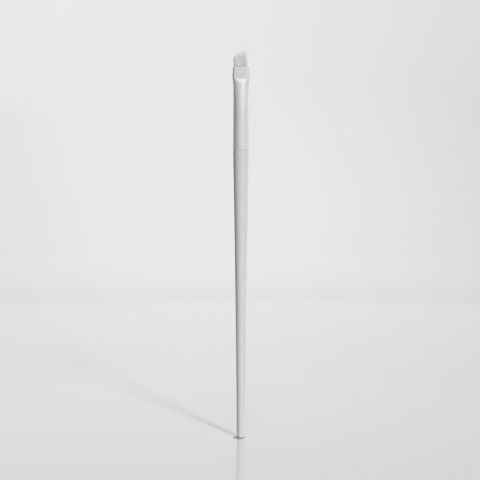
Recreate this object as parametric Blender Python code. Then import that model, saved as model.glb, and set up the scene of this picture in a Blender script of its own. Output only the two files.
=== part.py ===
"""Angled liner brush, upright on the flat end of its handle.

Lengths are in metres. +Z runs up the brush from the middle of the handle's flat end, at the origin.
The wide side of the ferrule's pressed mouth lies along X, and the long side of the slanted tuft is at +X.
"""

import math
import random

import bmesh
import bpy

# Handle
HANDLE_LENGTH = 0.1250
HANDLE_END_DIAMETER = 0.0032
HANDLE_MIDDLE_DIAMETER = 0.0046
HANDLE_END_ROUNDING = 0.00025
SHOULDER_ROUNDING = 0.0002
TENON_CHAMFER = 0.0008

# Seam between the handle's shoulder and the ferrule
SEAM_GAP = 0.0003
SEAM_STEP = 0.0001

# Ferrule, with depths measured down from its mouth
FERRULE_LENGTH = 0.0355
FERRULE_WALL = 0.0003
FERRULE_SEAM_DIAMETER = 0.0067
FERRULE_NECK_DIAMETER = 0.0064
RIM_ROUNDING = 0.0001
MOUTH_WIDTH = 0.0069
MOUTH_THICKNESS = 0.0034
BULGE_WIDTH = 0.0073
BULGE_DEPTH = 0.0037
BULGE_FALL_LENGTH = 0.0045
FACET_WIDTH = 0.0039
FACET_LENGTH = 0.0047
CREASE_RISE = 0.0010
SLOPE_LENGTH = 0.0055

# Tuft, with heights measured up from the mouth
TUFT_SHORT_SIDE = 0.0036
TUFT_LONG_SIDE = 0.0100
TUFT_CORNER_WIDTH = 0.0010
TUFT_CORNER_DROP = 0.0007
TUFT_TIP_THICKNESS = 0.0012
TUFT_SPREAD = 0.0003
TUFT_LEAN = 0.0004
ROOT_DEPTH = 0.0016
SLICE_THICKNESS = 0.0020
BRISTLE_COLUMNS = 24
BRISTLE_ROWS = 8
BRISTLE_UNEVENNESS = 0.0001

# Resin plug behind the tuft, and the glue round the tenon
PLUG_LENGTH = 0.0080
PLUG_DISH = 0.0006
GLUE_THICKNESS = 0.00015
GLUE_MARGIN = 0.0010
HOLLOW_LENGTH = 0.0040

# Clearances
FIT_GAP = 0.0001
FACE_GAP = 0.0003

# Number of steps round and along the pieces
SIDES = 40
ROUNDING_STEPS = 3
TAPER_STEPS = 12
FACET_STEPS = 5
SLOPE_STEPS = 7
TUBE_STEPS = 3
GLUE_STEPS = 3

# Shape of the curves, with no unit
FACET_CROWDING = 1.5
SLOPE_CROWDING = 1.6
DISH_SHARES = (0.5, 0.8)
MOST_RIM_SHARE = 0.45
CREASE_SOFTNESS = 0.05
SLOPE_DECAY = 2.5
BUNDLE_END_SHARE = 0.28
BRISTLE_ROOT_FILL = 0.74
BRISTLE_BEND_AT = 0.55
BRISTLE_BEND_FILL = 0.46
SEED = 4

# Colours, and the angle in degrees from which an edge shows as sharp
WHITE = (0.80, 0.80, 0.80)
FILAMENT_WHITE = (0.85, 0.85, 0.84)
GLUE_YELLOW = (0.78, 0.72, 0.55)
RESIN_YELLOW = (0.75, 0.66, 0.42)
SHARP_ANGLE = 35

MOUTH_HEIGHT = HANDLE_LENGTH + SEAM_GAP + FERRULE_LENGTH
SLOPE_END_DEPTH = FACET_LENGTH + SLOPE_LENGTH
SLICE_DEPTH = ROOT_DEPTH + SLICE_THICKNESS
PLUG_TOP_DEPTH = SLICE_DEPTH + FACE_GAP
PLUG_END_DEPTH = PLUG_TOP_DEPTH + PLUG_LENGTH
TENON_TOP_DEPTH = PLUG_END_DEPTH + HOLLOW_LENGTH
TENON_LENGTH = FERRULE_LENGTH + SEAM_GAP - TENON_TOP_DEPTH


def mix(start, end, share):
    return start + (end - start) * share


def clamp(value):
    return min(max(value, 0.0), 1.0)


def ease(share):
    """Goes from 0 to 1 with level ends."""
    share = clamp(share)
    return share * share * (3 - 2 * share)


def clear_scene():
    for obj in list(bpy.data.objects):
        bpy.data.objects.remove(obj)


def make_material(name, colour, roughness):
    material = bpy.data.materials.new(name)
    material.use_nodes = True
    shader = material.node_tree.nodes["Principled BSDF"]
    shader.inputs["Base Color"].default_value = (*colour, 1.0)
    shader.inputs["Roughness"].default_value = roughness
    return material


def add_piece(name, bm, height, material, parent):
    """Makes an object of the mesh, with its own origin at this height on the brush's axis."""
    bmesh.ops.recalc_face_normals(bm, faces=bm.faces)
    mesh = bpy.data.meshes.new(name)
    bm.to_mesh(mesh)
    bm.free()
    mesh.materials.append(material)
    mesh.shade_smooth()
    mesh.set_sharp_from_angle(angle=math.radians(SHARP_ANGLE))
    piece = bpy.data.objects.new(name, mesh)
    bpy.context.scene.collection.objects.link(piece)
    piece.parent = parent
    piece.location = (0, 0, height)
    return piece


def directions():
    """Cosine and sine of each point round a ring, none of them on the Y axis, so that a flat fits there."""
    for step in range(SIDES):
        angle = 2 * math.pi * (step + 0.5) / SIDES
        yield math.cos(angle), math.sin(angle)


def circle(diameter, height):
    return [(diameter / 2 * across, diameter / 2 * along, height) for across, along in directions()]


def skin(bm, rings, closed=False):
    """Joins each ring of points to the next, and the last to the first if closed, or else caps both ends."""
    loops = [[bm.verts.new(point) for point in ring] for ring in rings]
    pairs = list(zip(loops, loops[1:]))
    if closed:
        pairs.append((loops[-1], loops[0]))
    for lower, upper in pairs:
        for index in range(SIDES):
            after = (index + 1) % SIDES
            bm.faces.new((lower[index], lower[after], upper[after], upper[index]))
    if not closed:
        bm.faces.new(loops[0])
        bm.faces.new(loops[-1])


def rounding():
    """Steps of a quarter circle, as shares of its radius: how far from the end, and how far in."""
    for step in range(ROUNDING_STEPS + 1):
        angle = math.pi / 2 * step / ROUNDING_STEPS
        yield 1 - math.cos(angle), 1 - math.sin(angle)


def handle_diameter(height):
    """The slim end, the middle and the top of the taper, joined by one curve."""
    top = FERRULE_SEAM_DIAMETER + 2 * SEAM_STEP
    share = height / HANDLE_LENGTH
    straight = mix(HANDLE_END_DIAMETER, top, share)
    sag = (HANDLE_END_DIAMETER + top) / 2 - HANDLE_MIDDLE_DIAMETER
    return straight - 4 * sag * share * (1 - share)


def tube_diameter(depth):
    """Outside of the round tube below the pressed mouth, widening towards the seam."""
    share = clamp((depth - SLOPE_END_DEPTH) / (FERRULE_LENGTH - SLOPE_END_DEPTH))
    return mix(FERRULE_NECK_DIAMETER, FERRULE_SEAM_DIAMETER, share)


def ferrule_width(depth):
    """Outside width, which swells below the mouth and falls back to the tube's."""
    if depth < BULGE_DEPTH:
        return mix(MOUTH_WIDTH, BULGE_WIDTH, ease(depth / BULGE_DEPTH))
    return mix(BULGE_WIDTH, tube_diameter(depth), ease((depth - BULGE_DEPTH) / BULGE_FALL_LENGTH))


def ferrule_flat(depth):
    """Width of the pressed facet, which ends in a round bottom."""
    bottom = clamp(2 * depth / FACET_LENGTH - 1)
    return FACET_WIDTH * math.sqrt(1 - bottom * bottom)


def ferrule_thickness(depth, x=0.0):
    """Outside thickness: the mouth's on the facets, then a slope to the tube's, higher up at the sides."""
    off = min(abs(x) / (FACET_WIDTH / 2), 1)
    reach = clamp((depth - FACET_LENGTH + CREASE_RISE * off * off) / SLOPE_LENGTH)
    soft = (1 + CREASE_SOFTNESS) * reach * reach / (reach + CREASE_SOFTNESS)
    return mix(MOUTH_THICKNESS, tube_diameter(depth), 1 - (1 - soft) ** SLOPE_DECAY)


def ferrule_ring(depth, inset=0.0):
    """The ferrule's section at this depth, two rounded sides joined by two flats, set in from its outside."""
    flat = ferrule_flat(depth)
    reach = (ferrule_width(depth) - flat) / 2
    points = []
    for across, along in directions():
        side = math.copysign(flat / 2, across)
        thickness = ferrule_thickness(depth, side + reach * across)
        points.append((side + (reach - inset) * across, (thickness / 2 - inset) * along, -depth))
    return points


def make_handle(parent):
    """The taper from its flat end to the shoulder, and the tenon above it."""
    bm = bmesh.new()
    rings = []
    for height, inset in rounding():
        diameter = HANDLE_END_DIAMETER - 2 * HANDLE_END_ROUNDING * inset
        rings.append(circle(diameter, HANDLE_END_ROUNDING * height))
    for step in range(1, TAPER_STEPS):
        height = HANDLE_LENGTH * step / TAPER_STEPS
        rings.append(circle(handle_diameter(height), height))
    for drop, inset in reversed(list(rounding())):
        diameter = handle_diameter(HANDLE_LENGTH) - 2 * SHOULDER_ROUNDING * inset
        rings.append(circle(diameter, HANDLE_LENGTH - SHOULDER_ROUNDING * drop))
    top = HANDLE_LENGTH + TENON_LENGTH
    rings.append(circle(tenon_diameter(), HANDLE_LENGTH))
    rings.append(circle(tenon_diameter(), top - TENON_CHAMFER))
    rings.append(circle(tenon_diameter() - 2 * TENON_CHAMFER, top))
    skin(bm, rings)
    paint = make_material("handle_paint", WHITE, 0.5)
    return add_piece("handle", bm, 0, paint, parent)


def tenon_diameter():
    """What the wall, the glue and their clearances leave of the tube at its narrowest over the tenon."""
    return ferrule_thickness(TENON_TOP_DEPTH) - 2 * (FERRULE_WALL + GLUE_THICKNESS + 2 * FIT_GAP)


def make_ferrule(parent):
    """One wall that runs up the outside, over the rim of the mouth and down the inside."""
    bm = bmesh.new()
    depths = ferrule_depths()
    outer = [ferrule_ring(depth) for depth in reversed(depths)]
    inner = [ferrule_ring(depth, FERRULE_WALL) for depth in depths]
    skin(bm, with_rims(outer, inner) + with_rims(inner, outer), closed=True)
    coat = make_material("ferrule_coat", WHITE, 0.3)
    return add_piece("ferrule", bm, MOUTH_HEIGHT, coat, parent)


def ferrule_depths():
    """Where the tube gets a ring of points: close together round the crease, far apart on the plain tube."""
    depths = [0.0]
    for step in range(1, FACET_STEPS + 1):
        depths.append(FACET_LENGTH * (1 - (1 - step / FACET_STEPS) ** FACET_CROWDING))
    for step in range(1, SLOPE_STEPS + 1):
        depths.append(FACET_LENGTH + SLOPE_LENGTH * (step / SLOPE_STEPS) ** SLOPE_CROWDING)
    for step in range(1, TUBE_STEPS + 1):
        depths.append(mix(SLOPE_END_DEPTH, FERRULE_LENGTH, step / TUBE_STEPS))
    return depths


def with_rims(wall, facing):
    """One side of the wall with its two end rings drawn back, and a ring on the end face beside each."""
    rounding_size = min(RIM_ROUNDING, MOST_RIM_SHARE * FERRULE_WALL)
    share = rounding_size / FERRULE_WALL
    upwards = wall[-1][0][2] > wall[0][0][2]
    back = rounding_size if upwards else -rounding_size
    start = [between(wall[0], facing[-1], share), moved(wall[0], back)]
    end = [moved(wall[-1], -back), between(wall[-1], facing[0], share)]
    return start + wall[1:-1] + end


def moved(ring, rise):
    return [(x, y, z + rise) for x, y, z in ring]


def between(ring, other, share):
    return [tuple(mix(a, b, share) for a, b in zip(p, q)) for p, q in zip(ring, other)]


def make_glue(parent):
    """A thin sleeve between the tenon and the ferrule's bore."""
    bm = bmesh.new()
    low = FERRULE_LENGTH - GLUE_MARGIN
    high = TENON_TOP_DEPTH + GLUE_MARGIN
    inner = tenon_diameter() + 2 * FIT_GAP
    depths = [mix(low, high, step / GLUE_STEPS) for step in range(GLUE_STEPS + 1)]
    outer = [ferrule_ring(depth, FERRULE_WALL + FIT_GAP) for depth in depths]
    skin(bm, outer + [circle(inner, -high), circle(inner, -low)], closed=True)
    glue = make_material("glue", GLUE_YELLOW, 0.4)
    return add_piece("handle_glue", bm, MOUTH_HEIGHT, glue, parent)


def make_plug(parent):
    """The resin behind the tuft, shaped by the ferrule's inside, with a dished end where it set."""
    bm = bmesh.new()
    inside = [depth for depth in ferrule_depths() if PLUG_TOP_DEPTH < depth < PLUG_END_DEPTH]
    depths = [PLUG_END_DEPTH] + inside[::-1] + [PLUG_TOP_DEPTH]
    rings = [ferrule_ring(depth, FERRULE_WALL + FIT_GAP) for depth in depths]
    centre = [(0, 0, -PLUG_END_DEPTH)] * SIDES
    dish = []
    for share in DISH_SHARES:
        dish.append(moved(between(centre, rings[0], share), PLUG_DISH * (1 - share * share)))
    skin(bm, dish + rings)
    resin = make_material("resin", RESIN_YELLOW, 0.25)
    return add_piece("epoxy_plug", bm, MOUTH_HEIGHT, resin, parent)


def bundle_section():
    """Width, thickness and flat of the tightest section that the bundle passes on its way out."""
    depths = (0, ROOT_DEPTH, SLICE_DEPTH)
    inset = 2 * (FERRULE_WALL + FIT_GAP)
    width = min(ferrule_width(depth) for depth in depths) - inset
    thickness = min(ferrule_thickness(depth) for depth in depths) - inset
    return width, thickness, min(ferrule_flat(depth) for depth in depths)


def bundle_reach():
    """How far along X the bundle goes, where its rounded side has thinned to the end share."""
    width, _, flat = bundle_section()
    return flat / 2 + (width - flat) / 2 * math.sqrt(1 - BUNDLE_END_SHARE**2)


def bundle_depth(x):
    """Half the bundle's thickness at this place along X."""
    width, thickness, flat = bundle_section()
    past = max(abs(x) - flat / 2, 0) / ((width - flat) / 2)
    return thickness / 2 * math.sqrt(max(1 - past * past, 0))


def root_grid():
    """Columns of points across the bundle, every other one half a row off, so the cells are triangles."""
    whole = [row / BRISTLE_ROWS for row in range(BRISTLE_ROWS + 1)]
    halves = [(row + 0.5) / BRISTLE_ROWS for row in range(BRISTLE_ROWS)]
    columns = []
    for column in range(BRISTLE_COLUMNS + 1):
        x = bundle_reach() * (2 * column / BRISTLE_COLUMNS - 1)
        shares = [0.0] + halves + [1.0] if column % 2 else whole
        columns.append([(x, bundle_depth(x) * (2 * share - 1)) for share in shares])
    return columns


def grid_cells(left, right):
    """Triangles that fill the strip between two columns, taking the next point from the side that lags."""
    cells = []
    i, j = 0, 0
    while i + 1 < len(left) or j + 1 < len(right):
        left_y = left[i + 1].co.y if i + 1 < len(left) else math.inf
        right_y = right[j + 1].co.y if j + 1 < len(right) else math.inf
        if left_y < right_y:
            cells.append((left[i], right[j], left[i + 1]))
            i += 1
        else:
            cells.append((left[i], right[j], right[j + 1]))
            j += 1
    return cells


def cut_height(x):
    """Height of the slanted cut above the mouth, with its two corners rounded off."""
    reach = bundle_reach()
    height = mix(TUFT_SHORT_SIDE, TUFT_LONG_SIDE, (x + reach) / (2 * reach))
    near = min(x + reach, reach - x)
    corner = clamp(1 - near / TUFT_CORNER_WIDTH)
    return height - TUFT_CORNER_DROP * corner * corner


def bristle_centre(root_x, root_y, share):
    """Where a bristle's middle lies at this share of its way from the root to the tip."""
    tip = cut_height(root_x)
    height = mix(-ROOT_DEPTH, tip, share)
    out = max(height, 0) / tip
    side = root_x / bundle_reach()
    long_share = (1 + side) / 2 * (tip / TUFT_LONG_SIDE)
    x = root_x + out * TUFT_SPREAD * side + out * out * TUFT_LEAN * long_share
    squeeze = TUFT_TIP_THICKNESS / bundle_section()[1]
    y = root_y * mix(1, squeeze, ease(out))
    return x, y, height


def add_bristle(bm, corners, unevenness):
    """Raises one three-sided bristle from the middle of a cell, and closes the cell round its root."""
    mid_x = sum(vert.co.x for vert in corners) / 3
    mid_y = sum(vert.co.y for vert in corners) / 3
    spokes = [(vert.co.x - mid_x, vert.co.y - mid_y) for vert in corners]
    rings = [corners]
    for share, fill in ((0, BRISTLE_ROOT_FILL), (BRISTLE_BEND_AT, BRISTLE_BEND_FILL)):
        x, y, z = bristle_centre(mid_x, mid_y, share)
        rings.append([bm.verts.new((x + fill * dx, y + fill * dy, z)) for dx, dy in spokes])
    x, y, z = bristle_centre(mid_x, mid_y, 1)
    tip = bm.verts.new((x, y, z + unevenness))
    for lower, upper in zip(rings, rings[1:]):
        for index in range(3):
            after = (index + 1) % 3
            bm.faces.new((lower[index], lower[after], upper[after], upper[index]))
    for index in range(3):
        bm.faces.new((rings[-1][index], rings[-1][(index + 1) % 3], tip))


def slice_border(columns):
    """The grid's outer points, in order round the bundle."""
    front = [column[0] for column in columns]
    back = [column[-1] for column in reversed(columns)]
    right = columns[-1][1:-1]
    left = list(reversed(columns[0][1:-1]))
    return front + right + back + left


def make_tuft(parent):
    """Bristles on a slice of the resin that binds their roots, in one closed mesh."""
    bm = bmesh.new()
    columns = [[bm.verts.new((x, y, -ROOT_DEPTH)) for x, y in column] for column in root_grid()]
    border = slice_border(columns)
    foot = [bm.verts.new((vert.co.x, vert.co.y, -SLICE_DEPTH)) for vert in border]
    for index in range(len(border)):
        after = (index + 1) % len(border)
        bm.faces.new((foot[index], foot[after], border[after], border[index]))
    bm.faces.new(foot)
    dice = random.Random(SEED)
    for left, right in zip(columns, columns[1:]):
        for corners in grid_cells(left, right):
            add_bristle(bm, corners, dice.uniform(-BRISTLE_UNEVENNESS, BRISTLE_UNEVENNESS))
    filament = make_material("filament", FILAMENT_WHITE, 0.45)
    return add_piece("bristle_tuft", bm, MOUTH_HEIGHT, filament, parent)


def main():
    clear_scene()
    brush = bpy.data.objects.new("liner_brush", None)
    bpy.context.scene.collection.objects.link(brush)
    make_handle(brush)
    make_glue(brush)
    make_ferrule(brush)
    make_plug(brush)
    make_tuft(brush)


main()
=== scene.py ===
import math
import random

import bpy
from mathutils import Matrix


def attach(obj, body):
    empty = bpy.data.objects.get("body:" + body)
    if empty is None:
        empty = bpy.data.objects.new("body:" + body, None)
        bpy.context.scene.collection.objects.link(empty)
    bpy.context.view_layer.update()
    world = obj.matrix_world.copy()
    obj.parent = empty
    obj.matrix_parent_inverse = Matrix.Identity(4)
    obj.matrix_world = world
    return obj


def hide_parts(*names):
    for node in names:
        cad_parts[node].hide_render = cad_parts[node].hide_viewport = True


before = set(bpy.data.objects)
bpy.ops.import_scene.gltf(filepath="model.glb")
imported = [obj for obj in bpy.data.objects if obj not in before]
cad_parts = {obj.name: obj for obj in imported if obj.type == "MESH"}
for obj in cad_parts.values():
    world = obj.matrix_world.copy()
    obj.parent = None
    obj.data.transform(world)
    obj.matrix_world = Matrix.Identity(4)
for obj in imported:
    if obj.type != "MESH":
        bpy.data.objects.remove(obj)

# Looks of the liner brush. Lengths are in metres, in the frame of the CAD: +Z runs up from the middle of the
# handle's flat end, the tuft's long side is at +X, and the camera stands on the side of -Y. Depths run down
# from the ferrule's mouth, and the heights of hairs run up from it. A zone gives where something sets in and
# over what width it does.

# Handle: a turned stick that swells upwards, with a thin tenon inside the ferrule
HANDLE_LENGTH = 0.1250
HANDLE_END_DIAMETER = 0.0032
HANDLE_MIDDLE_DIAMETER = 0.0046
HANDLE_END_ROUNDING = 0.00075
END_FACE_DIAMETERS = (0.0006, 0.0014)
SHOULDER_DIAMETER = 0.0067
SHOULDER_ROUNDING = 0.0002
TENON_DIAMETER = 0.0052
TENON_LENGTH = 0.0199
TENON_FOOT_WIDTH = 0.0004
TENON_FOOT_HEIGHT = 0.0001
TENON_POINT_LENGTH = 0.001
TENON_POINT_TAPER = 0.0012
HANDLE_SIDES = 128
HANDLE_STEPS = 160
EDGE_STEPS = 8

# Ferrule: a tube with its seam on the handle's shoulder and rounded rims
MOUTH_HEIGHT = 0.1608
FERRULE_LENGTH = 0.0355
FERRULE_WALL = 0.0003
FERRULE_SEAM_DIAMETER = 0.0066
FERRULE_NECK_DIAMETER = 0.0064
SEAM_GAP = 0.00005
FERRULE_END = MOUTH_HEIGHT - HANDLE_LENGTH - SEAM_GAP
RIM_ROUNDING = 0.00014
SEAM_RIM_ROUNDING = 0.00006
FERRULE_SIDES = 192
RIM_STEPS = 8

# Ferrule's section: squarer and thinner at the mouth, with a bulge under it and a slope down to the tube
MOUTH_WIDTH = 0.0070
MOUTH_THICKNESS = 0.0034
MOUTH_SQUARENESS = 3
TUBE_SQUARENESS = 2
SQUARE_ZONE = (0.0030, 0.0050)
BULGE_WIDTH = 0.0072
BULGE_DEPTH = 0.0037
BULGE_FALL_LENGTH = 0.0045
ROUND_THICKNESS = 0.0039
SLOPE_START = 0.0055
SLOPE_SOFTNESS = 0.0012
SLOPE_LENGTH = 0.0110
SLOPE_DECAY = 1.35

# Ferrule's two flat faces, pressed deepest at their round bottom, and the lip that climbs out below them
FACET_WIDTH = 0.0037
FACET_LENGTH = 0.0051
FACET_REACH = 1.4
PRESS_DEPTH = 0.0004
CREASE_RISE = 0.0004
CREASE_SOFTNESS = 0.00015
LIP_SLOPE = 0.52
LIP_CROWN = 0.5
LIP_SOFTNESS = 0.00025

# Steps down the ferrule, with the power that crowds them around the lip
FACET_STEPS, FACET_CROWDING = 40, 1.2
SLOPE_STEPS, SLOPE_CROWDING = 44, 1.4
TUBE_STEPS = 24

# Blocks that fill the bore: the bound roots of the hair, and the resin under them
BORE_GAP = 0.0001
BORE_EDGE = 0.0002
BORE_STEPS = 12
ROOTS_TOP = 0.0010
ROOTS_BOTTOM = 0.0038
PLUG_TOP = 0.0039
PLUG_BOTTOM = 0.0119

# Bundle of hair: its oval section in the mouth, the triangular pattern of its roots, and its loose sides
SEED = 11
BUNDLE_WIDTH = 0.0061
BUNDLE_THICKNESS = 0.0026
BUNDLE_POWER = 3
HAIR_SPACING = 0.000112
ROW_SHARE = 0.866
ROOT_SCATTER = 0.1
RIGHT_THINNING, RIGHT_THINNING_ZONE = 0.935, (0.0010, 0.0009)
LEFT_THINNING, LEFT_THINNING_ZONE = 0.93, (0.0027, 0.0002)

# One hair: its thickness, its taper along its length, and how much finer it is at the loose right side
HAIR_ROOT = -0.0012
HAIR_RADIUS = 0.000055
HAIR_TIP_RADIUS = 0.00001
HAIR_TAPER_ZONE = (0.7, 0.3)
FINE_SHARE = 0.65
FINE_ZONE = (0.5, 0.15)
HAIR_SIDES = 5
HAIR_LEVELS = (0, 0.12, 0.2, 0.3, 0.45, 0.62, 0.78, 0.9, 1)

# Tips: most end at the cut, and the rest run on as a fringe that is longer towards the right
CUT_HEIGHT = 0.0050
LEFT_CUT_HEIGHT = 0.0047
LEFT_CUT_WIDTH = 0.75
CUT_RAGGEDNESS = 0.0012
CUT_SHARE, RIGHT_CUT_SHARE, CUT_SHARE_ZONE = 0.87, 0.74, (0, 0.5)
OVERRUN, RIGHT_OVERRUN, OVERRUN_ZONE = 0.0004, 0.0013, (-1, 1.6)
RAREST_OVERRUN = 0.01
TUFT_TOP = 0.0094

# Parting of the front hairs, right of the middle, which closes towards the cut
PARTING_X = 0.00013
PARTING_WIDTH = 0.00033
PARTING_DEPTH = 0.5
PARTING_END_ZONE = (0.0028, 0.002)

# Blade of the tuft: how its section opens from the mouth's oval and thins upwards
BLADE_TOP_HALF_DEPTH = 0.0007
BLADE_THINNING_ZONE = (0, 0.007)
BLADE_EDGE = 0.98
BLADE_LEFT_POWER, BLADE_RIGHT_POWER = 16, 2.5
LEFT_SPREAD_LIMIT, RIGHT_SPREAD_LIMIT = 5, 2.5
SPREAD_ZONE = (0, 0.0012)

# Lean, bend and fan of the hairs, and the sweep of the fringe to the right
LEAN_X, LEAN_Y, BEND = 0.014, 0.010, 2.5
LEFT_EDGE_LEAN, LEFT_EDGE_ZONE = 0.02, (0.85, 0.1)
FAN, FAN_POWER = 0.05, 1.5
FLARE, FLARE_HEIGHT = 0.00004, 0.0004
STRAY_SHARE, STRAY_FAN = 0.1, (0.05, 0.2)
SWEPT_TIP = 0.0053
SWEPT_SHARE, SWEPT_ZONE = 0.8, (-0.1, 0.3)
SWEEP = (0.05, 0.5)
FRINGE_START = 0.0038
FRINGE_EDGE = 0.0037

# Painted shade on the hairs just over the mouth, which reaches highest in mid bundle, and its tones over its
# height
ROOT_SHADE_HEIGHT = 0.006
ROOT_SHADE_FALL = 0.0025
ROOT_SHADE_MIDDLE = 0.0018
ROOT_SHADE_TONES = [(0, 0.76), (0.27, 0.965), (0.55, 0.975), (0.75, 1)]

# Share of a cell of the texture map that its hair fills
CELL_USE = (0.05, 0.95)

# Hair's grain along its length, its tones over that grain, and the share of light that it lets through
HAIR_STRETCH = (1, 1, 0.05)
HAIR_TONES = [(0.25, 0.965), (0.75, 0.99)]
HAIR_THROUGH = 0.1

# Cloudy resin and glue: their darker tone as a share of the colour, and how much rougher they get
AMBER_DARK = 0.86
AMBER_ROUGHER = 0.12

# Range that most of a noise lies in
NOISE_RANGE = (0.3, 0.7)

# Studio: a round floor and a wall with a rounded foot
FLOOR_MIDDLE = 0.0005
FLOOR_RADIUS = 1.1
FLOOR_STEPS = 22
BEND_RADIUS = 0.8
BEND_STEPS = 24
WALL_HEIGHTS = (1.2, 1.7, 2.2)
STAGE_SIDES = 96

# Glow and paint of the studio from the brush outwards over the floor and up the wall, and the lamps' part; the
# glow is painted light that grows from the brush outwards and up the wall
STAGE_REACH = 2.6
STAGE_TONES = [
    (0, 0.485), (0.1, 0.489), (0.2, 0.51), (0.3, 0.544), (0.42, 0.61), (0.57, 0.731), (0.78, 0.788),
    (1.05, 0.813), (1.6, 0.811), (1.9, 0.803), (2.4, 0.812),
]
STAGE_PAINT = [(0, 0.58), (0.25, 0.58), (0.34, 0.5), (0.7, 0.1), (1.2, 0.03), (2.4, 0.03)]
STAGE_LIGHT = 0.49

# Painted pool of light around the brush: its shift to the left, its width, and how it falls off sideways
LIGHT_POOL_SHIFT = [(0.2, 0.018), (1.5, 0.057), (1.86, 0.11), (2.0, 0.22), (2.26, 0.35)]
LIGHT_POOL_WIDTH = [(0.2, 0.148), (0.42, 0.21), (1.86, 0.45), (2.26, 0.765)]
LIGHT_POOL_FALL = 0.1
LIGHT_POOL_LEAST = 0.7

# Painted shade on the left wall, seen only in reflections, which darkens the brush's left side as gloss
# mirrors it
MIRRORED_SHADE_X = (-1.1, -0.5)
MIRRORED_SHADE_DARKNESS = 0.7

# Light that the floor throws back onto the foot of the brush, most from the right
BOUNCE = (0.18, 0.6)
BOUNCE_X = (-0.002, 0.004)
BOUNCE_RADIUS = (0.02, 0.08)

# Narrow shade where the foot meets the floor, on its side towards the key lamp
NOOK_TOWARDS = (0.72, -0.66, 0.2)
NOOK_REACH = 0.0023
NOOK_POWER = 7
NOOK_SAMPLES = 16

# Gloss of the floor, which fades away from the brush
GLOSS_ROUGHNESS = 0.14
GLOSS_IOR = 1.45
GLOSS_RADIUS = (0.12, 0.6)
MATTE_ROUGHNESS = 0.9

# Air around the studio, as it lights the brush and as it is seen
AIR_LIGHT, AIR_SHOWN = 0.02, 0.8

# Far lamps: strength, and in degrees their spread, height over the floor and turn to the camera's right
LAMPS = {
    "key": (0.63, 8, 29, 25.3),
    "low_key": (0.10, 8, 5, 25.3),
    "overhead": (0.23, 20, 52, 0),
    "rim": (0.28, 20, 3, 125),
    "fill": (0.10, 30, 8, 95),
    "card": (0.14, 40, 12, -52),
    "back": (0.7, 40, 12, -170),
}

# Camera, with its dip under the level and its roll in degrees
CAMERA_LENS = 90.27
CAMERA_SENSOR = 36
CAMERA_CLIP = (0.01, 20)
CAMERA_PLACE = (-0.0004, -0.5204, 0.1141)
CAMERA_DIP = 3.033
CAMERA_ROLL = -0.06


def mix(start, end, share):
    return start + (end - start) * share


def clamp(value):
    return min(max(value, 0.0), 1.0)


def ease(share):
    share = clamp(share)
    return share * share * (3 - 2 * share)


def rise(value, start, width):
    """Goes softly from 0 to 1 over the width past the start."""
    return ease((value - start) / width)


def shares(steps):
    """Evenly spaced shares up to 1, without the 0."""
    return [step / steps for step in range(1, steps + 1)]


def circle(radius, height, sides):
    ring = []
    for step in range(sides):
        angle = 2 * math.pi * step / sides
        ring.append((radius * math.cos(angle), radius * math.sin(angle), height))
    return ring


def quarter(steps):
    """Steps along a quarter circle: how far each is up, and how far it is in from the side."""
    for step in range(steps + 1):
        angle = math.pi / 2 * step / steps
        yield 1 - math.cos(angle), 1 - math.sin(angle)


def wall_faces(count, sides, closed=False):
    """Faces between neighbouring rings, and from the last ring back to the first one where closed."""
    faces = []
    for ring in range(count if closed else count - 1):
        low = ring * sides
        high = (ring + 1) % count * sides
        for index in range(sides):
            after = (index + 1) % sides
            faces.append((low + index, low + after, high + after, high + index))
    return faces


def block_faces(count, sides):
    """Faces of a solid with flat ends, from its first ring to its last one."""
    first = tuple(range(sides))[::-1]
    last = tuple(range((count - 1) * sides, count * sides))
    return wall_faces(count, sides) + [first, last]


def add_object(name, points, faces, material):
    mesh = bpy.data.meshes.new(name)
    mesh.from_pydata(points, [], faces)
    mesh.validate()
    mesh.materials.append(material)
    mesh.shade_smooth()
    piece = bpy.data.objects.new(name, mesh)
    bpy.context.scene.collection.objects.link(piece)
    return piece


def points_of(rings):
    return [point for ring in rings for point in ring]


# Node materials


def make_material(name):
    material = bpy.data.materials.new(name)
    material.use_nodes = True
    return material, material.node_tree, material.node_tree.nodes["Principled BSDF"]


def add_node(tree, kind, inputs=None, **settings):
    node = tree.nodes.new(kind)
    for key, value in settings.items():
        setattr(node, key, value)
    for key, value in (inputs or {}).items():
        if isinstance(value, bpy.types.NodeSocket):
            tree.links.new(value, node.inputs[key])
        else:
            node.inputs[key].default_value = value
    return node


def object_place(tree):
    return add_node(tree, "ShaderNodeTexCoord").outputs["Object"]


def stretched(tree, where, stretch):
    return add_node(tree, "ShaderNodeMapping", {"Vector": where, "Scale": stretch}).outputs["Vector"]


def split(tree, where):
    return add_node(tree, "ShaderNodeSeparateXYZ", {"Vector": where}).outputs


def noise(tree, where, scale, detail):
    inputs = {"Vector": where, "Scale": scale, "Detail": detail}
    return add_node(tree, "ShaderNodeTexNoise", inputs).outputs["Fac"]


def ramp(tree, share, stops):
    node = add_node(tree, "ShaderNodeValToRGB", {"Fac": share})
    while len(node.color_ramp.elements) < len(stops):
        node.color_ramp.elements.new(0.5)
    for element, (position, colour) in zip(node.color_ramp.elements, stops):
        element.position = position
        element.color = (*colour, 1) if isinstance(colour, tuple) else (colour, colour, colour, 1)
    return node.outputs["Color"]


def two_tone(tree, share, dark, light):
    return ramp(tree, share, list(zip(NOISE_RANGE, (dark, light))))


def span(tree, value, source, target):
    """Turns one range of values into another, and holds it at its ends."""
    inputs = {"Value": value, "From Min": source[0], "From Max": source[1]}
    inputs.update({"To Min": target[0], "To Max": target[1]})
    return add_node(tree, "ShaderNodeMapRange", inputs).outputs["Result"]


def bump(tree, height, strength, distance):
    inputs = {"Height": height, "Strength": strength, "Distance": distance}
    return add_node(tree, "ShaderNodeBump", inputs).outputs["Normal"]


def maths(tree, operation, first, second):
    return add_node(tree, "ShaderNodeMath", {0: first, 1: second}, operation=operation).outputs["Value"]


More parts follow.
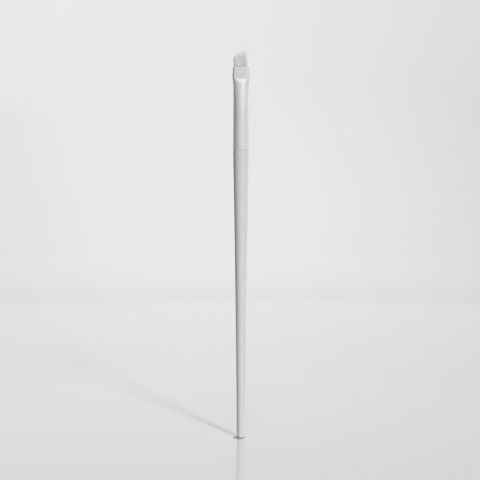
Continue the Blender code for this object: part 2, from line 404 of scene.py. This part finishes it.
def product(tree, first, *others):
    for other in others:
        first = maths(tree, "MULTIPLY", first, other)
    return first


def remainder(tree, share):
    """What a share leaves of 1."""
    return maths(tree, "SUBTRACT", 1, share)


def greater(tree, first, second):
    return maths(tree, "MAXIMUM", first, second)


def blend(tree, share, first, second):
    """Puts a mix of two shaders on the surface."""
    both = add_node(tree, "ShaderNodeMixShader", {0: share, 1: first.outputs[0], 2: second.outputs[0]})
    tree.links.new(both.outputs[0], tree.nodes["Material Output"].inputs["Surface"])


def wire(tree, shader, **inputs):
    for key, value in inputs.items():
        tree.links.new(value, shader.inputs[key.replace("_", " ")])


def handle_paint():
    material, tree, shader = make_material("handle_paint")
    where = object_place(tree)
    broad = noise(tree, where, scale=160, detail=3)
    fine = noise(tree, where, scale=2400, detail=3)
    wire(
        tree, shader,
        Base_Color=two_tone(tree, broad, dark=(0.792, 0.790, 0.786), light=(0.818, 0.816, 0.812)),
        Roughness=span(tree, fine, NOISE_RANGE, (0.52, 0.60)),
        Normal=bump(tree, fine, strength=0.25, distance=0.00001),
    )
    shader.inputs["IOR"].default_value = 1.4
    return material


def ferrule_coat():
    material, tree, shader = make_material("ferrule_coat")
    where = object_place(tree)
    broad = noise(tree, where, scale=220, detail=2)
    fine = noise(tree, where, scale=3200, detail=2)
    wire(
        tree, shader,
        Base_Color=two_tone(tree, broad, dark=(0.78, 0.78, 0.778), light=(0.80, 0.80, 0.798)),
        Roughness=span(tree, fine, NOISE_RANGE, (0.47, 0.53)),
        Normal=bump(tree, fine, strength=0.15, distance=0.000006),
    )
    shader.inputs["IOR"].default_value = 1.6
    shader.inputs["Coat Weight"].default_value = 0.46
    shader.inputs["Coat Roughness"].default_value = 0.3
    return material


def painted_root_shade(tree, where):
    """Painted shade on the hairs up from the mouth, which reaches less high at both sides of the bundle."""
    axes = split(tree, where)
    squares = (ROOT_SHADE_MIDDLE**2, BUNDLE_WIDTH**2 / 4)
    aside = span(tree, product(tree, axes["X"], axes["X"]), squares, (0, ROOT_SHADE_FALL))
    height = maths(tree, "ADD", axes["Z"], aside)
    return ramp(tree, span(tree, height, (MOUTH_HEIGHT, MOUTH_HEIGHT + ROOT_SHADE_HEIGHT), (0, 1)), ROOT_SHADE_TONES)


def hair_white():
    """White filaments that let a little light through."""
    material, tree, shader = make_material("hair_white")
    where = object_place(tree)
    strands = noise(tree, stretched(tree, where, HAIR_STRETCH), scale=9000, detail=1)
    tint = ramp(tree, strands, HAIR_TONES)
    # The hair's tone is multiplied by painted shade near the mouth
    layers = {"Factor": 1, 6: tint, 7: painted_root_shade(tree, where)}
    mixed = add_node(tree, "ShaderNodeMix", layers, data_type="RGBA", blend_type="MULTIPLY")
    colour = mixed.outputs[2]
    wire(tree, shader, Base_Color=colour, Roughness=span(tree, strands, NOISE_RANGE, (0.5, 0.6)))
    shader.inputs["Sheen Weight"].default_value = 0.6
    shader.inputs["Sheen Roughness"].default_value = 0.5
    through = add_node(tree, "ShaderNodeBsdfTranslucent", {"Color": colour})
    blend(tree, HAIR_THROUGH, shader, through)
    return material


def amber(name, colour, roughness):
    material, tree, shader = make_material(name)
    cloudy = noise(tree, object_place(tree), scale=900, detail=3)
    dark = tuple(AMBER_DARK * part for part in colour)
    wire(
        tree, shader,
        Base_Color=two_tone(tree, cloudy, dark, colour),
        Roughness=span(tree, cloudy, NOISE_RANGE, (roughness, roughness + AMBER_ROUGHER)),
        Normal=bump(tree, cloudy, strength=0.2, distance=0.00003),
    )
    return material


# Handle


def handle_diameter(height):
    share = height / HANDLE_LENGTH
    straight = mix(HANDLE_END_DIAMETER, SHOULDER_DIAMETER, share)
    sag = (HANDLE_END_DIAMETER + SHOULDER_DIAMETER) / 2 - HANDLE_MIDDLE_DIAMETER
    return straight - 4 * sag * share * (1 - share)


def handle_ring(diameter, height):
    return circle(diameter / 2, height, HANDLE_SIDES)


def make_handle():
    rings = [handle_ring(diameter, 0) for diameter in END_FACE_DIAMETERS]
    for height, inset in quarter(EDGE_STEPS):
        diameter = HANDLE_END_DIAMETER - 2 * HANDLE_END_ROUNDING * inset
        rings.append(handle_ring(diameter, HANDLE_END_ROUNDING * height))
    for step in range(1, HANDLE_STEPS):
        height = mix(HANDLE_END_ROUNDING, HANDLE_LENGTH - SHOULDER_ROUNDING, step / HANDLE_STEPS)
        rings.append(handle_ring(handle_diameter(height), height))
    for drop, inset in reversed(list(quarter(EDGE_STEPS))):
        diameter = SHOULDER_DIAMETER - 2 * SHOULDER_ROUNDING * inset
        rings.append(handle_ring(diameter, HANDLE_LENGTH - SHOULDER_ROUNDING * drop))
    tenon_top = HANDLE_LENGTH + TENON_LENGTH
    rings.append(handle_ring(TENON_DIAMETER + TENON_FOOT_WIDTH, HANDLE_LENGTH))
    rings.append(handle_ring(TENON_DIAMETER, HANDLE_LENGTH + TENON_FOOT_HEIGHT))
    rings.append(handle_ring(TENON_DIAMETER, tenon_top - TENON_POINT_LENGTH))
    rings.append(handle_ring(TENON_DIAMETER - TENON_POINT_TAPER, tenon_top))
    faces = block_faces(len(rings), HANDLE_SIDES)
    piece = add_object("handle_painted", points_of(rings), faces, handle_paint())
    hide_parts("handle")
    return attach(piece, "root")


# Ferrule


def tube_diameter(depth):
    slope_end = SLOPE_START + SLOPE_LENGTH
    share = clamp((depth - slope_end) / (FERRULE_LENGTH - slope_end))
    return mix(FERRULE_NECK_DIAMETER, FERRULE_SEAM_DIAMETER, share)


def ferrule_width(depth):
    if depth < BULGE_DEPTH:
        return mix(MOUTH_WIDTH, BULGE_WIDTH, rise(depth, 0, BULGE_DEPTH))
    return mix(BULGE_WIDTH, tube_diameter(depth), rise(depth, BULGE_DEPTH, BULGE_FALL_LENGTH))


def ferrule_thickness(depth):
    """Thickness that the rounded sides belong to, out of which the two flat faces are pressed."""
    past = depth - SLOPE_START
    reach = clamp((past + math.hypot(past, SLOPE_SOFTNESS)) / 2 / SLOPE_LENGTH)
    return mix(ROUND_THICKNESS, tube_diameter(depth), 1 - (1 - reach) ** SLOPE_DECAY)


def pressed_half(depth, x):
    """Distance from the middle to a pressed face, and past its round bottom to the lip under it."""
    off = min(abs(2 * x / FACET_WIDTH), FACET_REACH) ** 2
    past = depth - FACET_LENGTH + CREASE_RISE * off
    sunk = PRESS_DEPTH * clamp(1 + past / FACET_LENGTH) ** 2
    climb = (past + math.hypot(past, CREASE_SOFTNESS)) / 2
    return (MOUTH_THICKNESS - sunk) / 2 + LIP_SLOPE * climb * (1 - LIP_CROWN * off)


def soft_min(first, second, width):
    share = clamp(0.5 + (second - first) / (2 * width))
    return mix(second, first, share) - width * share * (1 - share)


def ferrule_ring(depth, inset=0.0):
    """Section of the ferrule: a squared oval at the mouth and a circle below, cut by the pressed faces."""
    power = 2 / mix(MOUTH_SQUARENESS, TUBE_SQUARENESS, rise(depth, *SQUARE_ZONE))
    points = []
    for step in range(FERRULE_SIDES):
        angle = 2 * math.pi * (step + 0.5) / FERRULE_SIDES
        across, along = math.cos(angle), math.sin(angle)
        x = (ferrule_width(depth) / 2 - inset) * abs(across) ** power
        y = (ferrule_thickness(depth) / 2 - inset) * abs(along) ** power
        y = soft_min(y, pressed_half(depth, x) - inset, LIP_SOFTNESS)
        points.append((math.copysign(x, across), math.copysign(y, along), MOUTH_HEIGHT - depth))
    return points


def ferrule_depths():
    slope_end = SLOPE_START + SLOPE_LENGTH
    depths = [FACET_LENGTH * (1 - (1 - share) ** FACET_CROWDING) for share in shares(FACET_STEPS)]
    depths += [mix(FACET_LENGTH, slope_end, share**SLOPE_CROWDING) for share in shares(SLOPE_STEPS)]
    depths += [mix(slope_end, FERRULE_LENGTH, share) for share in shares(TUBE_STEPS)]
    return [depth for depth in depths if RIM_ROUNDING < depth < FERRULE_END - RIM_ROUNDING]


def rim(depth, rounding):
    """Half circle of rings over an end of the wall, from the outside in."""
    rings = []
    for step in range(RIM_STEPS + 1):
        angle = math.pi * step / RIM_STEPS
        inset = FERRULE_WALL / 2 * (1 - math.cos(angle))
        rings.append(ferrule_ring(depth + rounding * (1 - math.sin(angle)), inset))
    return rings


def make_ferrule():
    depths = ferrule_depths()
    outer = [ferrule_ring(depth) for depth in reversed(depths)]
    inner = [ferrule_ring(depth, FERRULE_WALL) for depth in depths]
    rings = outer + rim(0.0, RIM_ROUNDING) + inner + rim(FERRULE_END, -SEAM_RIM_ROUNDING)[::-1]
    faces = wall_faces(len(rings), FERRULE_SIDES, closed=True)
    piece = add_object("ferrule_coated", points_of(rings), faces, ferrule_coat())
    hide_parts("ferrule")
    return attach(piece, "root")


def bore_block(top, bottom):
    """Points and faces of a block that fills the bore between two depths, with its edges taken off."""
    inset = FERRULE_WALL + BORE_GAP
    rings = [ferrule_ring(bottom, inset + BORE_EDGE)]
    for step in range(BORE_STEPS + 1):
        rings.append(ferrule_ring(mix(bottom - BORE_EDGE, top + BORE_EDGE, step / BORE_STEPS), inset))
    rings.append(ferrule_ring(top, inset + BORE_EDGE))
    return points_of(rings), block_faces(len(rings), FERRULE_SIDES)


def make_plug():
    points, faces = bore_block(PLUG_TOP, PLUG_BOTTOM)
    resin = amber("resin_amber", colour=(0.75, 0.66, 0.42), roughness=0.2)
    piece = add_object("resin_plug", points, faces, resin)
    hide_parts("epoxy_plug")
    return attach(piece, "root")


# Hair


def side_of(x):
    """Place across the bundle, from -1 at its left edge to 1 at its right edge."""
    return x / (BUNDLE_WIDTH / 2)


def bundle_half_depth(x):
    """Half the thickness of the oval that the roots fill."""
    flat = BUNDLE_WIDTH - BUNDLE_THICKNESS
    past = max(abs(x) - flat / 2, 0) / (BUNDLE_THICKNESS / 2)
    return BUNDLE_THICKNESS / 2 * max(1 - past**BUNDLE_POWER, 0) ** (1 / BUNDLE_POWER)


def thinning(x):
    """Share of the hairs that is left out."""
    if x > 0:
        return RIGHT_THINNING * rise(x, *RIGHT_THINNING_ZONE)
    return LEFT_THINNING * rise(-x, *LEFT_THINNING_ZONE)


def hair_roots(dice):
    roots = []
    rows = int(BUNDLE_THICKNESS / HAIR_SPACING / ROW_SHARE) + 2
    columns = int(BUNDLE_WIDTH / HAIR_SPACING) + 2
    for row in range(-rows, rows + 1):
        for column in range(-columns, columns + 1):
            x = (column + 0.5 * (row % 2)) * HAIR_SPACING
            y = row * HAIR_SPACING * ROW_SHARE
            x += dice.uniform(-ROOT_SCATTER, ROOT_SCATTER) * HAIR_SPACING
            y += dice.uniform(-ROOT_SCATTER, ROOT_SCATTER) * HAIR_SPACING
            inside = abs(x) < BUNDLE_WIDTH / 2 and abs(y) < bundle_half_depth(x)
            if inside and dice.random() > thinning(x):
                roots.append((x, y))
    return roots


def hair_tip(side, dice):
    """Height of a tip: close under the cut, or on past it, where longer ones are fewer and fewer."""
    short = 1 - clamp((side + 1) / LEFT_CUT_WIDTH)
    cut = mix(CUT_HEIGHT, LEFT_CUT_HEIGHT, short)
    if dice.random() < mix(CUT_SHARE, RIGHT_CUT_SHARE, rise(side, *CUT_SHARE_ZONE)):
        return cut - CUT_RAGGEDNESS * dice.random() ** 2
    overrun = mix(OVERRUN, RIGHT_OVERRUN, rise(side, *OVERRUN_ZONE))
    return min(cut - overrun * math.log(dice.uniform(RAREST_OVERRUN, 1)), TUFT_TOP)


def furrow(x, height):
    """How far the front hairs stand back at the parting, as a share of their own distance."""
    off = (x - PARTING_X) / PARTING_WIDTH
    return PARTING_DEPTH * math.exp(-off * off) * (1 - rise(height, *PARTING_END_ZONE))


def blade_half_depth(x, height):
    """Half the thickness of the tuft over the mouth: squarer at its short side, and thinner with height."""
    half = mix(BUNDLE_THICKNESS / 2, BLADE_TOP_HALF_DEPTH, rise(height, *BLADE_THINNING_ZONE))
    past = min(abs(side_of(x)), BLADE_EDGE)
    power = BLADE_LEFT_POWER if x < 0 else BLADE_RIGHT_POWER
    return half * (1 - past**power) ** (1 / power)


def squeeze(x, y, height):
    """How much further out from the middle plane a hair stands at a height than at its root."""
    limit = LEFT_SPREAD_LIMIT if x < 0 else RIGHT_SPREAD_LIMIT
    spread = min(blade_half_depth(x, height) / bundle_half_depth(x), limit)
    share = mix(1, spread, rise(height, *SPREAD_ZONE))
    return share * (1 - furrow(x, height)) if y < 0 else share


def hair_line(x, y, tip, dice):
    """Middle of a hair at several heights, from its root in the ferrule to its tip."""
    side = side_of(x)
    lean_x = dice.gauss(0, LEAN_X) - LEFT_EDGE_LEAN * rise(-side, *LEFT_EDGE_ZONE)
    lean_y = dice.gauss(0, LEAN_Y)
    bend = dice.gauss(0, BEND)
    fan = FAN * max(side, 0) ** FAN_POWER
    if dice.random() < STRAY_SHARE * side:
        fan += dice.uniform(*STRAY_FAN)
    sweep = 0
    if tip > SWEPT_TIP and dice.random() < SWEPT_SHARE * rise(side, *SWEPT_ZONE):
        sweep = min(dice.uniform(*SWEEP), (FRINGE_EDGE - x) / (tip - FRINGE_START))
    line = []
    for share in HAIR_LEVELS:
        height = mix(HAIR_ROOT, tip, share)
        out = max(height, 0)
        flare = FLARE * side * (1 - math.exp(-out / FLARE_HEIGHT))
        swept = sweep * max(out - FRINGE_START, 0)
        mid_x = x + flare + (fan + lean_x) * out + bend * out * out + swept
        line.append((min(mid_x, FRINGE_EDGE), y * squeeze(x, y, out) + lean_y * out, height))
    return line


def hair_points(side, line, turn):
    """Rings around the middle line of a hair, thinner towards its tip."""
    share_of_full = mix(1, FINE_SHARE, rise(side, *FINE_ZONE))
    points = []
    for index, (mid_x, mid_y, height) in enumerate(line):
        taper = rise(index / (len(line) - 1), *HAIR_TAPER_ZONE)
        radius = mix(HAIR_RADIUS, HAIR_TIP_RADIUS, taper) * share_of_full
        for step in range(HAIR_SIDES):
            angle = turn + 2 * math.pi * step / HAIR_SIDES
            x, y = mid_x + radius * math.cos(angle), mid_y + radius * math.sin(angle)
            points.append((x, y, MOUTH_HEIGHT + height))
    return points


def shifted(faces, start):
    return [tuple(start + corner for corner in face) for face in faces]


def lay_out_hair(mesh, hairs, hair_faces):
    """Gives each hair its own cell of the texture map, and the bound roots the last cell."""
    rows = math.ceil(math.sqrt(hairs + 1))
    layer = mesh.uv_layers.new(name="OFBake")
    spots = [vertex.co for vertex in mesh.vertices]
    low = [min(spot[axis] for spot in spots) for axis in range(3)]
    high = [max(spot[axis] for spot in spots) for axis in range(3)]
    corners = ((0, 0), (1, 0), (1, 1), (0, 1))
    for face in mesh.polygons:
        hair, part = divmod(face.index, hair_faces)
        cell = min(hair, hairs)
        ring, side = divmod(part, HAIR_SIDES)
        for order, loop in enumerate(face.loop_indices):
            if hair < hairs and len(face.vertices) == 4:
                across = (side + corners[order][0]) / HAIR_SIDES
                up = (ring + corners[order][1]) * HAIR_SIDES / hair_faces
            else:
                spot = mesh.vertices[mesh.loops[loop].vertex_index].co
                across = (spot.x - low[0]) / (high[0] - low[0])
                up = (spot.z - low[2]) / (high[2] - low[2])
            place_u = (cell % rows + mix(*CELL_USE, across)) / rows
            place_v = (cell // rows + mix(*CELL_USE, up)) / rows
            layer.data[loop].uv = (place_u, place_v)


def make_hair():
    dice = random.Random(SEED)
    points, faces = [], []
    roots = hair_roots(dice)
    for x, y in roots:
        tip = hair_tip(side_of(x), dice)
        line = hair_line(x, y, tip, dice)
        turn = dice.uniform(0, 2 * math.pi)
        faces += shifted(block_faces(len(line), HAIR_SIDES), len(points))
        points += hair_points(side_of(x), line, turn)
    hair_faces = len(faces) // len(roots)
    bound_points, bound_faces = bore_block(ROOTS_TOP, ROOTS_BOTTOM)
    faces += shifted(bound_faces, len(points))
    points += bound_points
    piece = add_object("tuft_hair", points, faces, hair_white())
    lay_out_hair(piece.data, len(roots), hair_faces)
    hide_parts("bristle_tuft")
    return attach(piece, "root")


# Studio


def make_stage():
    """A bowl with a flat floor and a rounded foot to its wall, which casts no shadow."""
    profile = [(FLOOR_MIDDLE, 0.0)]
    profile += [(FLOOR_RADIUS * share, 0.0) for share in shares(FLOOR_STEPS)]
    for share in shares(BEND_STEPS):
        angle = math.pi / 2 * share
        profile.append((FLOOR_RADIUS + BEND_RADIUS * math.sin(angle), BEND_RADIUS * (1 - math.cos(angle))))
    profile += [(FLOOR_RADIUS + BEND_RADIUS, height) for height in WALL_HEIGHTS]
    rings = [circle(radius, height, STAGE_SIDES) for radius, height in profile]
    faces = wall_faces(len(rings), STAGE_SIDES) + [tuple(range(STAGE_SIDES))]
    stage = add_object("studio_floor", points_of(rings), faces, stage_material())
    stage.visible_shadow = False


def shown_share(tree):
    """1 for what the camera, a reflection or a see-through piece sees, and 0 for what lights the brush."""
    seen = add_node(tree, "ShaderNodeLightPath").outputs
    shown = greater(tree, seen["Is Camera Ray"], seen["Is Glossy Ray"])
    return greater(tree, shown, seen["Is Transmission Ray"])


def outwards(tree, way, stops):
    """A value that changes from the brush outwards over the floor and up the wall."""
    return ramp(tree, way, [(reach / STAGE_REACH, value) for reach, value in stops])


def painted_light_pool(tree, way, x):
    """Fall of the painted pool of light to both sides of the brush."""
    centred = maths(tree, "ADD", x, outwards(tree, way, LIGHT_POOL_SHIFT))
    off = maths(tree, "DIVIDE", centred, outwards(tree, way, LIGHT_POOL_WIDTH))
    return greater(tree, remainder(tree, product(tree, off, off, LIGHT_POOL_FALL)), LIGHT_POOL_LEAST)


def lit_share(tree, shown, x, radius):
    """Share of the paint that counts: all of it where it is seen, and part of it where it lights the brush."""
    right = span(tree, x, BOUNCE_X, (0, 1))
    near = span(tree, radius, BOUNCE_RADIUS, (1, 0))
    return greater(tree, shown, span(tree, product(tree, right, near), (0, 1), BOUNCE))


def clear_share(tree, mirrored):
    """What the narrow shade at the foot leaves, with no shade in the floor's mirror image."""
    towards = add_node(tree, "ShaderNodeCombineXYZ", dict(zip("XYZ", NOOK_TOWARDS))).outputs["Vector"]
    inputs = {"Distance": NOOK_REACH, "Normal": towards}
    nook = add_node(tree, "ShaderNodeAmbientOcclusion", inputs, samples=NOOK_SAMPLES).outputs["AO"]
    depth = remainder(tree, maths(tree, "POWER", nook, NOOK_POWER))
    return remainder(tree, product(tree, remainder(tree, mirrored), depth))


def stage_material():
    """Floor and wall in a glow of painted light where they are seen, with a painted pool of light and a
    painted dark part on the left in reflections, and in paint that takes the shadow.
    """
    material, tree, shader = make_material("studio_pale")
    where = object_place(tree)
    axes = split(tree, where)
    level = add_node(tree, "ShaderNodeVectorMath", {0: where, 1: (1, 1, 0)}, operation="MULTIPLY")
    radius = add_node(tree, "ShaderNodeVectorMath", {0: level.outputs["Vector"]}, operation="LENGTH")
    radius = radius.outputs["Value"]
    way = span(tree, maths(tree, "ADD", radius, axes["Z"]), (0, STAGE_REACH), (0, 1))
    shown = shown_share(tree)
    mirrored = add_node(tree, "ShaderNodeLightPath").outputs["Is Glossy Ray"]
    clear = clear_share(tree, mirrored)
    paint = outwards(tree, way, STAGE_PAINT)
    tone = maths(tree, "SUBTRACT", outwards(tree, way, STAGE_TONES), product(tree, paint, STAGE_LIGHT))
    # Painted dark part of the left wall, only where gloss mirrors it
    mirrored_shade = product(tree, mirrored, span(tree, axes["X"], MIRRORED_SHADE_X, (MIRRORED_SHADE_DARKNESS, 0)))
    # Painted pool of light: the glow falls off to both sides of the brush
    tone = product(tree, tone, painted_light_pool(tree, way, axes["X"]), remainder(tree, mirrored_shade))
    paint = product(tree, paint, lit_share(tree, shown, axes["X"], radius), clear)
    glow = product(tree, shown, clear)
    shader.inputs["Roughness"].default_value = GLOSS_ROUGHNESS
    shader.inputs["IOR"].default_value = GLOSS_IOR
    dull = {"Roughness": MATTE_ROUGHNESS, "Specular IOR Level": 0}
    matte = add_node(tree, "ShaderNodeBsdfPrincipled", dull)
    for surface in (shader, matte):
        wire(tree, surface, Base_Color=paint, Emission_Color=tone, Emission_Strength=glow)
    fade = greater(tree, span(tree, radius, GLOSS_RADIUS, (0, 1)), remainder(tree, shown))
    blend(tree, fade, shader, matte)
    return material


def make_world():
    world = bpy.data.worlds.new("studio_air")
    world.use_nodes = True
    tree = world.node_tree
    air = ramp(tree, shown_share(tree), [(0, AIR_LIGHT), (1, AIR_SHOWN)])
    wire(tree, tree.nodes["Background"], Color=air)
    bpy.context.scene.world = world


def make_lamp(name, strength, spread, height, turn):
    light = bpy.data.lights.new(name, "SUN")
    light.energy = strength * math.pi
    light.angle = math.radians(spread)
    lamp = bpy.data.objects.new(name, light)
    bpy.context.scene.collection.objects.link(lamp)
    lamp.rotation_euler = (math.radians(90 - height), 0, math.radians(turn))


def make_camera():
    camera = bpy.data.cameras.new("camera")
    camera.lens = CAMERA_LENS
    camera.sensor_width = CAMERA_SENSOR
    camera.clip_start, camera.clip_end = CAMERA_CLIP
    viewer = bpy.data.objects.new("camera", camera)
    bpy.context.scene.collection.objects.link(viewer)
    viewer.location = CAMERA_PLACE
    viewer.rotation_euler = (math.radians(90 - CAMERA_DIP), math.radians(CAMERA_ROLL), 0)
    bpy.context.scene.camera = viewer


def main():
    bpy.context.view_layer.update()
    make_handle()
    make_ferrule()
    make_hair()
    make_plug()
    glue = amber("glue_amber", colour=(0.78, 0.72, 0.55), roughness=0.35)
    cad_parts["handle_glue"].material_slots[0].material = glue
    make_stage()
    make_world()
    for name, settings in LAMPS.items():
        make_lamp(name, *settings)
    make_camera()
    bpy.context.scene.view_settings.view_transform = "Standard"


main()
